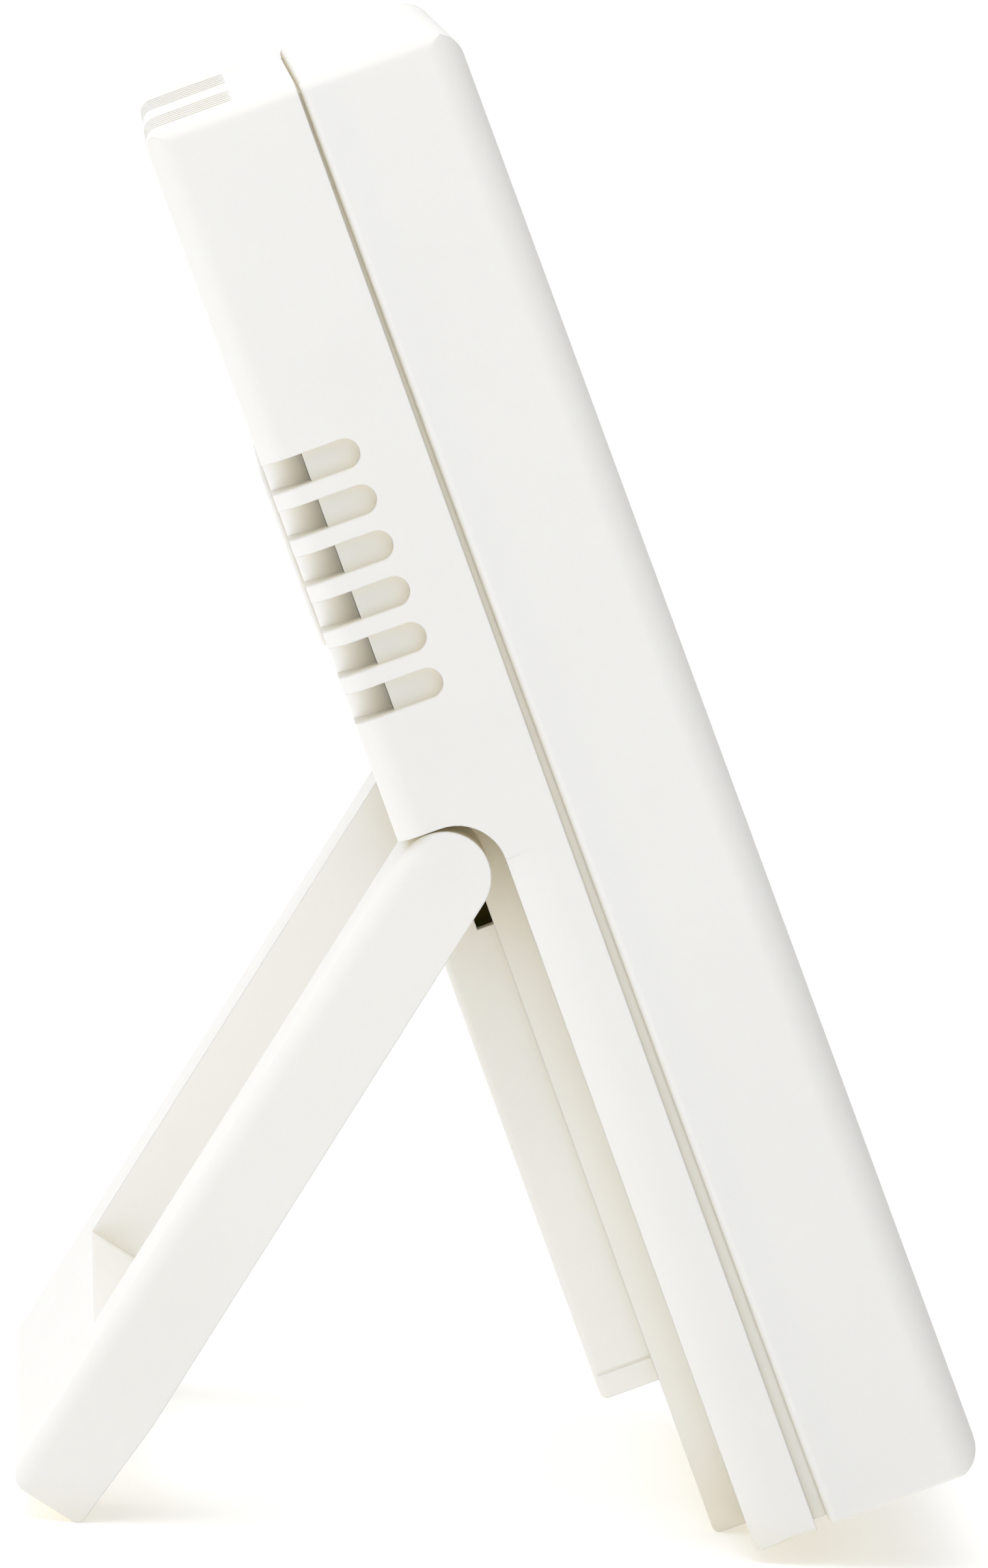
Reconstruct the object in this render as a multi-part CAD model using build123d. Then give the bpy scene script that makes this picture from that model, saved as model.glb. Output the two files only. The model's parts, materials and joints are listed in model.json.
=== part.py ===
from build123d import *
import math
import os

# Desk weather station: a flat indoor display case that leans back on a fold-out rear stand.
#
# Case frame, used for modelling: X across the case, Y through it with the rear face at y = 0
# and the display towards -Y, Z up along the case with its bottom end at z = 0.
# Standing frame, used for the files: the case leans back until the stand's foot and the case
# both touch z = 0. The origin is the bottom centre of the standing object's box.
# All sizes are in millimetres and degrees.

# ---- case ---------------------------------------------------------------------------------
CASE_WIDTH = 90.0
CASE_HEIGHT = 130.0
BACK_DEPTH = 13.5
FRONT_DEPTH = 14.0
GROOVE_TOP = 0.2            # gap between the two shells at the top of the case
GROOVE_BOTTOM = 1.2         # the same gap at the bottom: the front shell tilts forward
GROOVE_INSET = 0.9          # depth of that groove, from the side faces to the tongue
WALL = 2.0
FRONT_WALL = 2.5
CORNER_RADIUS = 1.2         # upper corners seen from the front
LOW_CORNER_RADIUS = 0.4     # lower corners seen from the front
REAR_EDGE_RADIUS = 2.2      # rear edges that run up the case
REAR_TOP_RADIUS = 1.3
FRONT_EDGE_RADIUS = 2.7
JOINT_EDGE_RADIUS = 0.7     # front shell's edge beside the groove
TONGUE_LENGTH = 3.0
TONGUE_WALL = 1.2
FIT = 0.1                   # clearance between pieces that are put together once

# ---- stand recess in the rear of the case ----------------------------------------------------
RECESS_HEIGHT = 67.0        # from the bottom of the case up to the recess's top wall
RECESS_DEPTH = 8.03
RECESS_CORNER = 4.3
STRIP_EDGE_WIDTH = 3.2      # the side strip curves in towards its rear edge over this width
STRIP_EDGE_DEPTH = 0.6
STRIP_EDGE_RUNOUT = 3.0     # and that curve fades out over this length below the recess's corner
STRIP_EDGE_FADED = 0.1      # share of the curve that is left at the end of it
SHELF_DEPTH = 5.2           # shelf between the two arms, under the stand's cross bar
SHELF_ARM_GAP = 2.4         # between the shelf's side wall and the arm's inner face
HUB_INSET = 18.5            # from the case side to the battery hub's side wall
HUB_BOTTOM = 14.0           # the hub, flush with the rear face, ends this far up
HUB_CREASE_HEIGHT = 2.2     # shallow crease on the hub's sides, above its bottom end
HUB_CREASE_RADIUS = 0.12
FOOT_RADIUS = 0.65          # rear bottom edges

# ---- stand ------------------------------------------------------------------------------------
PIVOT_HEIGHT = 64.2
PIVOT_DEPTH = 3.36
STAND_OPEN_ANGLE = 52.1     # between the open stand and the case
ARM_WIDTH = 14.4            # from the case side to the arm's inner face
ARM_SIDE_GAP = 0.15         # the arm's outer face lies this far inside the case side
ARM_FRONT = 4.5             # from the pivot to the arm's front face
ARM_END_RADIUS = 3.93
ARM_LENGTH = 64.1           # from the pivot to the tip
TIP_TAPER_LENGTH = 10.5
TIP_TAPER = 0.75
TIP_RADIUS = 0.66
HEEL_RADIUS = 1.5
ARM_EDGE_RADIUS = 1.6
BAR_THICKNESS = 5.0
STAND_WALL = 1.8
STAND_GAP = 0.2             # between the folded stand and the case
PIN_RADIUS = 1.6
PIN_CLEARANCE = 0.05
PIN_ENTRY_LOW = 55.9        # lower end of the slot that the pin is pushed in through
PIN_ENTRY_WIDTH = 1.5

# ---- vents ------------------------------------------------------------------------------------
VENT_COUNT = 6
VENT_PITCH = 4.1
VENT_HEIGHT = 2.6
VENT_DEPTH = 8.2            # from the rear face to the slot's round end
VENT_REACH = 5.0            # from the side or top face to the slot's inner end, beside the rear face
VENT_POCKET = 1.3           # depth of the blind front part of a slot
VENT_POCKET_FLOOR = 1.4     # thickness of plastic behind that part
VENT_LIP = 3.0              # rounding at the inner end
VENT_PAD = 3.5              # thickness of the rear wall beside the slots
SIDE_VENT_TOP = 30.6        # first slot, below the top of the case
TOP_VENT_OFFSET = 21.0      # centre of each top group from the middle of the case
BAFFLE_INSET = 9.0
BAFFLE_WALL = 1.2
CHAMBER_MARGIN = 2.4

# ---- rear keys ----------------------------------------------------------------------------------
KEY_NAMES = ("key_set", "key_up", "key_down", "key_unit", "key_memory")
KEY_LENGTH = 16.1
KEY_WIDTH = 6.0
KEY_PITCH = 9.5
KEY_TOP = 31.2              # upper end of the keys, below the top of the case
KEY_PROUD = 0.55
KEY_TRAVEL = 0.4
KEY_GAP = 0.3
KEY_FLANGE = 0.9
KEY_FLANGE_THICKNESS = 1.0
KEY_STEM_RADIUS = 1.5
KEY_EDGE_RADIUS = 0.33
SWITCH_WIDTH = 6.0
SWITCH_BODY = 2.2
SWITCH_HEIGHT = 3.0
SWITCH_PLUNGER_RADIUS = 1.7

# ---- battery compartment and door -------------------------------------------------------------
CELL_COUNT = 2              # AAA cells, lying across the case
CELL_RADIUS = 5.25
CELL_LENGTH = 44.5
CELL_NUB_RADIUS = 1.9
CELL_NUB_LENGTH = 0.8
CELL_EDGE_RADIUS = 0.4
CELL_GAP = 0.4
SPRING_LENGTH = 1.9
SPRING_BASE_RADIUS = 3.6
SPRING_TIP_RADIUS = 2.4
SPRING_WIRE = 0.8
CONTACT_THICKNESS = 0.3
CONTACT_MARGIN = 0.6        # a contact plate stops this far inside the cell's outline
TRAY_WALL = 1.4
TRAY_FLOOR = 1.0
DOOR_LEDGE = 1.5            # the door rests on a ledge this wide at each side of the cell room
DOOR_THICKNESS = 1.5
DOOR_CORNER = 1.5
DOOR_GAP = 0.15
DOOR_TRAVEL = 12.0
DOOR_GRIP_RIBS = 4
DOOR_GRIP_PITCH = 2.0
DOOR_GRIP_RADIUS = 0.5
DOOR_GRIP_LENGTH = 16.0
DOOR_GRIP_DROP = 4.0        # first rib, below the door's upper end

# ---- display stack, counted back from the display face ----------------------------------------
WINDOW_WIDTH = 72.0
WINDOW_HEIGHT = 100.0
WINDOW_TOP_MARGIN = 6.0
WINDOW_THICKNESS = 1.5
WINDOW_LEDGE = 2.0
WINDOW_CORNER = 2.0
LCD_THICKNESS = 2.2
POLARISER_THICKNESS = 0.2
LCD_INSET = 0.5             # the glass is this much smaller than the window on each side
LIGHT_GUIDE_THICKNESS = 2.5
STACK_GAP = 0.1
LCD_LEDGE = 3.0             # contact strip at each end of the glass, past the light guide
FRAME_WALL = 1.2
GUIDE_MARGIN = 1.0          # polarisers and light guide are this much smaller than the glass
LED_COUNT = 3
LED_LENGTH = 3.6
LED_WIDTH = 1.0
LED_MARGIN = 0.4            # the lamps are this much thinner than the light guide on each side
ZEBRA_MARGIN = 0.6          # from the glass's end to the rubber connector
ZEBRA_END_MARGIN = 2.0

# ---- main board ---------------------------------------------------------------------------------
BOARD_THICKNESS = 1.6
BOARD_GAP = 0.3
BOARD_END_MARGIN = 1.0      # the board is this much longer than the glass at each end
BOARD_SIDE_MARGIN = 0.5
BOARD_SCREW_RADIUS = 0.8
BOARD_SCREW_HEAD_HEIGHT = 1.0
BOARD_SCREW_SIDE_INSET = 3.0
BOARD_SCREW_END_INSET = 9.0
CHIP_RADIUS = 5.0
CHIP_HEIGHT = 1.4
CHIP_SPREAD = 12.0          # each chip's distance from the middle of the board
CHIP_DROP = 18.0            # chips and crystal, below the board's upper end
CRYSTAL_RADIUS = 1.0
CRYSTAL_LENGTH = 6.0
CRYSTAL_START = -3.5
CAPACITOR_RADIUS = 2.0
CAPACITOR_HEIGHT = 3.0
CAPACITOR_PLACES = (-27, -21, 27)
CAPACITOR_DROP = 27.0
BUZZER_RADIUS = 6.0
BUZZER_HEIGHT = 2.6
BUZZER_HOLE_RADIUS = 1.0
BUZZER_PLACE = 24.0
BUZZER_DROP = 14.0
RECEIVER_SIZE = (14.0, 16.0, 1.0)
RECEIVER_PLACE = -24.0
RECEIVER_DROP = 15.0
COIL_RADIUS = 2.0
COIL_BORE = 1.3
COIL_LENGTH = 18.0
COIL_START = -30.0
COIL_DROP = 3.0

# ---- sensors ------------------------------------------------------------------------------------
SENSOR_BOARD_THICKNESS = 0.8
SENSOR_BOARD_HEIGHT = 6.0
SENSOR_BOARD_GAP = 0.6      # from the baffle to the sensors' own board
SENSOR_END_GAP = 1.0
SENSOR_LOW_GAP = 0.5
HUMIDITY_SENSOR_SIZE = 3.0
HUMIDITY_SENSOR_DEPTH = 1.2
HUMIDITY_SENSOR_PLACE = 2.5     # from the board's front end
BEAD_RADIUS = 1.2
BEAD_PLACE = 2.0                # from the board's rear end

# ---- small parts ------------------------------------------------------------------------------
SCREW_SIDE_INSET = 5.5
SCREW_END_INSET = 7.0
SCREW_RADIUS = 1.1
SCREW_HEAD_RADIUS = 2.1
SCREW_HEAD_HEIGHT = 1.5
SCREW_SEAT = 1.2            # plastic left under the head
SCREW_HEAD_GAP = 0.2
SCREW_LENGTH = 12.0
BOSS_RADIUS = 2.6
HANG_HOLE_RADIUS = 3.5
HANG_HOLE_DEPTH = 6.0
HANG_HOLE_DROP = 13.0       # hole centre below the top of the case
HANG_BOSS_WALL = 1.5
OVERCUT = 1.0               # cutting shapes run this far past the faces they open

# ---- worked out from the above ------------------------------------------------------------------
HALF = CASE_WIDTH / 2
SHELF_INSET = ARM_WIDTH + SHELF_ARM_GAP
SHELF_HALF = HALF - SHELF_INSET
HUB_HALF = HALF - HUB_INSET
FRONT_TILT = math.degrees(math.atan((GROOVE_BOTTOM - GROOVE_TOP) / CASE_HEIGHT))
FRONT_FRAME = (
    Pos(0, -BACK_DEPTH - GROOVE_TOP, CASE_HEIGHT)
    * Rot(-FRONT_TILT, 0, 0)
    * Pos(0, 0, -CASE_HEIGHT)
)
PIVOT = Pos(0, -PIVOT_DEPTH, PIVOT_HEIGHT)
CELL_PITCH = 2 * CELL_RADIUS + CELL_GAP
TRAY_HALF_X = (CELL_LENGTH + SPRING_LENGTH + 2 * CONTACT_THICKNESS) / 2
DOOR_HALF = TRAY_HALF_X + DOOR_LEDGE
DOOR_LOW = HUB_BOTTOM + HUB_CREASE_HEIGHT
TRAY_LOW = DOOR_LOW + DOOR_LEDGE
TRAY_HIGH = TRAY_LOW + CELL_COUNT * CELL_PITCH + CELL_GAP
DOOR_HIGH = TRAY_HIGH + DOOR_LEDGE
TRAY_BACK = DOOR_THICKNESS + DOOR_GAP
TRAY_DEPTH = TRAY_BACK + 2 * CELL_RADIUS + CELL_GAP
CELL_HEIGHTS = [TRAY_LOW + CELL_GAP + CELL_RADIUS + n * CELL_PITCH for n in range(CELL_COUNT)]
KEY_HEIGHT = CASE_HEIGHT - KEY_TOP - KEY_LENGTH / 2
KEY_PLACES = [(n - (len(KEY_NAMES) - 1) / 2) * KEY_PITCH for n in range(len(KEY_NAMES))]
SIDE_VENT_MIDDLE = CASE_HEIGHT - SIDE_VENT_TOP - (VENT_COUNT - 1) * VENT_PITCH / 2
VENT_HALF_SPAN = (VENT_COUNT - 1) * VENT_PITCH / 2 + VENT_HEIGHT / 2
SCREW_X = HALF - SCREW_SIDE_INSET
SCREW_HEIGHTS = (SCREW_END_INSET, CASE_HEIGHT - SCREW_END_INSET)
SCREW_PLACES = [(x, z) for x in (-SCREW_X, SCREW_X) for z in SCREW_HEIGHTS]
SCREW_TIP = -BACK_DEPTH + SCREW_SEAT - SCREW_LENGTH

# Display stack levels in the front shell's own frame, where its rear edge is y = 0.
FACE_Y = -FRONT_DEPTH
LEDGE_Y = FACE_Y + WINDOW_THICKNESS
INNER_Y = FACE_Y + FRONT_WALL
LCD_FRONT = INNER_Y + STACK_GAP
LCD_MIDDLE = LCD_FRONT + POLARISER_THICKNESS + LCD_THICKNESS / 2
LCD_BACK = LCD_FRONT + LCD_THICKNESS + 2 * POLARISER_THICKNESS
GUIDE_FRONT = LCD_BACK + STACK_GAP
GUIDE_BACK = GUIDE_FRONT + LIGHT_GUIDE_THICKNESS
BOARD_FRONT = GUIDE_BACK + FRAME_WALL + BOARD_GAP
BOARD_BACK = BOARD_FRONT + BOARD_THICKNESS
WINDOW_HIGH = CASE_HEIGHT - WINDOW_TOP_MARGIN
WINDOW_LOW = WINDOW_HIGH - WINDOW_HEIGHT
LCD_HALF = WINDOW_WIDTH / 2 - LCD_INSET
LCD_LOW = WINDOW_LOW + LCD_INSET
LCD_HIGH = WINDOW_HIGH - LCD_INSET
FRAME_HALF = LCD_HALF + FIT + FRAME_WALL
GUIDE_HALF = LCD_HALF - GUIDE_MARGIN
GUIDE_LOW = LCD_LOW + LCD_LEDGE + GUIDE_MARGIN
GUIDE_HIGH = LCD_HIGH - LCD_LEDGE - GUIDE_MARGIN
BOARD_LOW = LCD_LOW - BOARD_END_MARGIN
BOARD_HIGH = LCD_HIGH + BOARD_END_MARGIN
BOARD_HALF = LCD_HALF + BOARD_SIDE_MARGIN
BOARD_SCREW_X = BOARD_HALF - BOARD_SCREW_SIDE_INSET
BOARD_SCREW_HEIGHTS = (BOARD_LOW + BOARD_SCREW_END_INSET, BOARD_HIGH - BOARD_SCREW_END_INSET)
BOARD_SCREW_PLACES = [(x, z) for x in (-BOARD_SCREW_X, BOARD_SCREW_X) for z in BOARD_SCREW_HEIGHTS]

# The sensors' own board stands beside the baffle, below the side slots, on the side at -X.
SENSOR_X = HALF - BAFFLE_INSET + SENSOR_BOARD_GAP
SENSOR_FACE = SENSOR_X + SENSOR_BOARD_THICKNESS
SENSOR_LOW = RECESS_HEIGHT + WALL + SENSOR_LOW_GAP
SENSOR_MIDDLE = SENSOR_LOW + SENSOR_BOARD_HEIGHT / 2
SENSOR_SPAN = (-BACK_DEPTH + SENSOR_END_GAP, -VENT_PAD - SENSOR_END_GAP)


# ---- shared shapes ------------------------------------------------------------------------------
def block(x, y, z):
    """A box given by its low and high limit along each axis."""
    middle = Pos((x[0] + x[1]) / 2, (y[0] + y[1]) / 2, (z[0] + z[1]) / 2)
    return middle * Box(x[1] - x[0], y[1] - y[0], z[1] - z[0])


def rod(start, direction, radius, length):
    """A cylinder that starts at a point and runs along a direction."""
    seat = Plane(origin=start, z_dir=direction)
    return seat * Cylinder(radius, length, align=(Align.CENTER, Align.CENTER, Align.MIN))


def rounded_face(corners):
    """A flat face through (a, b, radius) corners, given in order round the face."""
    points = [(a, b) for a, b, radius in corners]
    face = make_face(Polyline(*points, close=True))
    for a, b, radius in corners:
        if radius > 0:
            corner = face.vertices().sort_by_distance((a, b, 0))[0]
            face = fillet(corner, radius)
    return face


def rectangle(a, b, radii):
    """A rectangle whose four corners, low-low first and anticlockwise, have their own radii."""
    places = ((a[0], b[0]), (a[1], b[0]), (a[1], b[1]), (a[0], b[1]))
    return rounded_face([(place[0], place[1], radius) for place, radius in zip(places, radii)])


def along_x(face, x):
    return Pos(x[0], 0, 0) * extrude(Plane.YZ * face, x[1] - x[0])


def along_y(face, y):
    return Pos(0, y[1], 0) * extrude(Plane.XZ * face, y[1] - y[0])


def along_z(face, z):
    return Pos(0, 0, z[0]) * extrude(face, z[1] - z[0])


def soft_block(x, y, z, xy=(), yz=(), xz=()):
    """A box whose edges are rounded: xy radii for edges along Z, yz along X, xz along Y."""
    solid = block(x, y, z)
    if xy:
        solid &= along_z(rectangle(x, y, xy), z)
    if yz:
        solid &= along_x(rectangle(y, z, yz), x)
    if xz:
        solid &= along_y(rectangle(x, z, xz), y)
    return solid


def capsule(length, width, y):
    """An upright capsule on the rear face, centred on X = Z = 0."""
    return along_y(Rot(0, 0, 90) * SlotOverall(length, width), y)


def group(pieces):
    """Several separate solids as one node."""
    return Compound([solid for piece in pieces for solid in piece.solids()])


def both_sides(solid):
    """The solid and its mirror image across the middle of the case."""
    return [solid, mirror(solid, Plane.YZ)]


# ---- back shell ----------------------------------------------------------------------------------
def back_outside():
    rear = REAR_EDGE_RADIUS
    foot = (0, FOOT_RADIUS)
    upper = soft_block(
        (-HALF, HALF), (-BACK_DEPTH, 0), (RECESS_HEIGHT, CASE_HEIGHT),
        xy=(0, 0, rear, rear),
        yz=(0, 0, REAR_TOP_RADIUS, 0),
        xz=(0, 0, CORNER_RADIUS, CORNER_RADIUS),
    )
    strip = soft_block(
        (-HALF, HALF), (-BACK_DEPTH, -RECESS_DEPTH), (0, RECESS_HEIGHT),
        yz=(*foot, 0, 0),
        xz=(LOW_CORNER_RADIUS, LOW_CORNER_RADIUS, 0, 0),
    )
    for cutter in both_sides(strip_edge_cutter()):
        strip -= cutter
    shelf = soft_block(
        (-SHELF_HALF, SHELF_HALF), (-BACK_DEPTH, -SHELF_DEPTH), (0, RECESS_HEIGHT),
        xy=(0, 0, FOOT_RADIUS, FOOT_RADIUS),
        yz=(*foot, 0, 0),
    )
    hub = soft_block(
        (-HUB_HALF, HUB_HALF), (-BACK_DEPTH, 0), (HUB_BOTTOM, RECESS_HEIGHT),
        xy=(0, 0, FOOT_RADIUS, FOOT_RADIUS),
        yz=(*foot, 0, 0),
    )
    for crease in both_sides(hub_crease()):
        hub -= crease
    return upper + strip + shelf + hub + recess_corners()


def hub_crease():
    """The shallow crease across the hub's side, level with the door's lower end."""
    return rod((HUB_HALF, -SHELF_DEPTH, DOOR_LOW), (0, 1, 0), HUB_CREASE_RADIUS, SHELF_DEPTH + OVERCUT)


def strip_edge_face(share, z):
    """What has to go to curve the strip in by this share of its full curve, seen from above."""
    x, y = HALF, -RECESS_DEPTH
    width, depth = STRIP_EDGE_WIDTH, STRIP_EDGE_DEPTH * share
    arc = ThreePointArc((x, y - width), (x - depth / 4, y - width / 2), (x - depth, y))
    beyond = (x + OVERCUT, y + OVERCUT)
    rest = Polyline((x - depth, y), (x - depth, beyond[1]), beyond, (beyond[0], y - width), (x, y - width))
    return Plane.XY.offset(z) * make_face(arc + rest)


def strip_edge_cutter():
    """Curves the strip in towards its rear edge, fading out below the recess's corner."""
    top = RECESS_HEIGHT - RECESS_CORNER
    low = top - STRIP_EDGE_RUNOUT
    full = strip_edge_face(1, low)
    faded = strip_edge_face(STRIP_EDGE_FADED, top)
    straight = extrude(full, -(low + OVERCUT), dir=(0, 0, 1))
    return straight + loft([full, faded])


def recess_corners():
    """The round inner corner where each side strip meets the recess's top wall."""
    r = RECESS_CORNER
    low = RECESS_HEIGHT - r
    corner = block((SHELF_HALF, HALF), (-RECESS_DEPTH, -RECESS_DEPTH + r), (low, RECESS_HEIGHT))
    round_off = rod((SHELF_HALF - OVERCUT, -RECESS_DEPTH + r, low), (1, 0, 0), r, SHELF_INSET + 2 * OVERCUT)
    edge = along_z(
        rectangle((0, HALF), (-BACK_DEPTH, 0), (0, 0, REAR_EDGE_RADIUS, 0)), (low, RECESS_HEIGHT)
    )
    left, right = both_sides((corner - round_off) & edge)
    return left + right


def back_hollow():
    """The room inside the back shell, open to the front."""
    front = -BACK_DEPTH - OVERCUT
    ceiling = CASE_HEIGHT - WALL
    step = RECESS_HEIGHT + WALL
    side = HALF - WALL
    upper = block((-side, side), (front, -WALL), (step, ceiling))
    strip = block((-side, side), (front, -RECESS_DEPTH - WALL), (WALL, step + OVERCUT))
    shelf_half = SHELF_HALF - WALL
    shelf = block((-shelf_half, shelf_half), (front, -SHELF_DEPTH - WALL), (WALL, step + OVERCUT))
    hub = block((-HUB_HALF + WALL, HUB_HALF - WALL), (front, -WALL), (DOOR_HIGH + WALL, step + OVERCUT))
    return upper + strip + shelf + hub


def battery_tray():
    """The tray for the cells, a block between the hub's walls until tray_room is cut from it."""
    half = HUB_HALF - WALL
    height = (TRAY_LOW - TRAY_WALL, TRAY_HIGH + TRAY_WALL)
    return block((-half, half), (-TRAY_DEPTH - TRAY_FLOOR, -WALL), height)


def tray_room():
    return block((-TRAY_HALF_X, TRAY_HALF_X), (-TRAY_DEPTH, OVERCUT), (TRAY_LOW, TRAY_HIGH))


def door_space():
    """The shallow seat that the door lies in, in the hub's rear face."""
    return along_y(
        rectangle((-DOOR_HALF, DOOR_HALF), (DOOR_LOW, DOOR_HIGH), (DOOR_CORNER,) * 4), (-TRAY_BACK, OVERCUT)
    )


def vent_slot():
    """One slot at the origin: a blind pocket open to +X that turns into a deep notch in the rear face."""
    half = VENT_HEIGHT / 2
    round_end = -VENT_DEPTH + half
    pocket = block((-VENT_POCKET, OVERCUT), (round_end, OVERCUT), (-half, half))
    end = rod((-VENT_POCKET, round_end, 0), (1, 0, 0), half, VENT_POCKET + OVERCUT)
    notch = block((-VENT_REACH, OVERCUT), (-VENT_PAD, OVERCUT), (-half, half))
    lip = block((-VENT_REACH - VENT_LIP, -VENT_REACH), (-VENT_LIP, OVERCUT), (-half, half))
    lip_start = (-VENT_REACH - VENT_LIP, -VENT_LIP, -half - OVERCUT)
    lip -= rod(lip_start, (0, 0, 1), VENT_LIP, VENT_HEIGHT + 2 * OVERCUT)
    return pocket + end + notch + lip


def vent_group():
    offset = (VENT_COUNT - 1) / 2
    return [Pos(0, 0, (n - offset) * VENT_PITCH) * vent_slot() for n in range(VENT_COUNT)]


def vent_groups():
    places = [
        Pos(HALF, 0, SIDE_VENT_MIDDLE),
        Pos(-HALF, 0, SIDE_VENT_MIDDLE) * Rot(0, 180, 0),
        Pos(TOP_VENT_OFFSET, 0, CASE_HEIGHT) * Rot(0, -90, 0),
        Pos(-TOP_VENT_OFFSET, 0, CASE_HEIGHT) * Rot(0, -90, 0),
    ]
    return [place * slot for place in places for slot in vent_group()]


def vent_pads():
    """Thicker walls round each group of slots, and the baffle behind the side groups."""
    inner = HALF - BAFFLE_INSET
    low = RECESS_HEIGHT + WALL
    high = SIDE_VENT_MIDDLE + VENT_HALF_SPAN + CHAMBER_MARGIN
    side_pad = block((inner, HALF - WALL), (-VENT_PAD, -WALL), (low, high))
    baffle = block((inner - BAFFLE_WALL, inner), (-BACK_DEPTH, -WALL), (low, high + BAFFLE_WALL))
    lid = block((inner, HALF - WALL), (-BACK_DEPTH, -WALL), (high, high + BAFFLE_WALL))
    reach = VENT_HALF_SPAN + VENT_POCKET_FLOOR
    top_span = (TOP_VENT_OFFSET - reach, TOP_VENT_OFFSET + reach)
    top_pad = block(top_span, (-VENT_PAD, -WALL), (CASE_HEIGHT - BAFFLE_INSET, CASE_HEIGHT - WALL))
    backed = VENT_POCKET + VENT_POCKET_FLOOR
    floor_span = (-VENT_DEPTH - VENT_POCKET_FLOOR, -VENT_PAD)
    side_span = (SIDE_VENT_MIDDLE - reach, SIDE_VENT_MIDDLE + reach)
    side_floor = block((HALF - backed, HALF - WALL), floor_span, side_span)
    top_floor = block(top_span, floor_span, (CASE_HEIGHT - backed, CASE_HEIGHT - WALL))
    pieces = []
    for solid in (side_pad, baffle, lid, top_pad, side_floor, top_floor):
        pieces += both_sides(solid)
    return pieces


def tongue():
    """The rim that closes the groove: it runs inside the front shell all the way round."""
    outer = HALF - GROOVE_INSET
    inner = outer - TONGUE_WALL
    span = (-BACK_DEPTH - TONGUE_LENGTH, -BACK_DEPTH + WALL)
    low, high = GROOVE_INSET, CASE_HEIGHT - GROOVE_INSET
    rim = block((-outer, outer), span, (low, high))
    deep = (span[0] - OVERCUT, span[1] + OVERCUT)
    room = block((-inner, inner), deep, (low + TONGUE_WALL, high - TONGUE_WALL))
    return rim - room


def screw_seat(z):
    """Depth of the rear surface that a screw at this height goes in through."""
    return RECESS_DEPTH if z < RECESS_HEIGHT else 0


def screw_bosses():
    radius = SCREW_HEAD_RADIUS + SCREW_HEAD_GAP + WALL / 2
    solids = []
    for x, z in SCREW_PLACES:
        depth = screw_seat(z)
        solids.append(rod((x, -BACK_DEPTH, z), (0, 1, 0), radius, BACK_DEPTH - depth - WALL / 2))
    return solids


def screw_holes():
    solids = []
    for x, z in SCREW_PLACES:
        seat = -BACK_DEPTH + SCREW_SEAT
        solids.append(rod((x, -BACK_DEPTH - OVERCUT, z), (0, 1, 0), SCREW_RADIUS + FIT, BACK_DEPTH))
        solids.append(rod((x, seat, z), (0, 1, 0), SCREW_HEAD_RADIUS + SCREW_HEAD_GAP, BACK_DEPTH))
    return solids


def hanging_boss():
    place = (0, -HANG_HOLE_DEPTH - WALL, CASE_HEIGHT - HANG_HOLE_DROP)
    return rod(place, (0, 1, 0), HANG_HOLE_RADIUS + HANG_BOSS_WALL, HANG_HOLE_DEPTH + WALL / 2)


def hanging_hole():
    place = (0, -HANG_HOLE_DEPTH, CASE_HEIGHT - HANG_HOLE_DROP)
    return rod(place, (0, 1, 0), HANG_HOLE_RADIUS, HANG_HOLE_DEPTH + OVERCUT)


def pin_openings():
    """The pin's bore through each hub wall, and the slot that it is pushed in through."""
    radius = PIN_RADIUS + PIN_CLEARANCE
    wall = (HUB_HALF - WALL - OVERCUT, SHELF_HALF + OVERCUT)
    bore = rod((wall[0], -PIVOT_DEPTH, PIVOT_HEIGHT), (1, 0, 0), radius, wall[1] - wall[0])
    entry = block(wall, (-SHELF_DEPTH, -SHELF_DEPTH + PIN_ENTRY_WIDTH), (PIN_ENTRY_LOW, PIVOT_HEIGHT))
    return both_sides(bore) + both_sides(entry)


def key_holes():
    room = (-WALL - OVERCUT, OVERCUT)
    hole = capsule(KEY_LENGTH + 2 * KEY_GAP, KEY_WIDTH + 2 * KEY_GAP, room)
    return [Pos(x, 0, KEY_HEIGHT) * hole for x in KEY_PLACES]


def make_back_shell():
    shell = back_outside() - back_hollow()
    shell += tongue()
    shell -= door_space()
    for solid in [battery_tray(), hanging_boss(), *vent_pads(), *screw_bosses()]:
        shell += solid
    shell -= tray_room()
    shell -= hanging_hole()
    for solid in vent_groups() + screw_holes() + pin_openings() + key_holes():
        shell -= solid
    return shell


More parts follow.
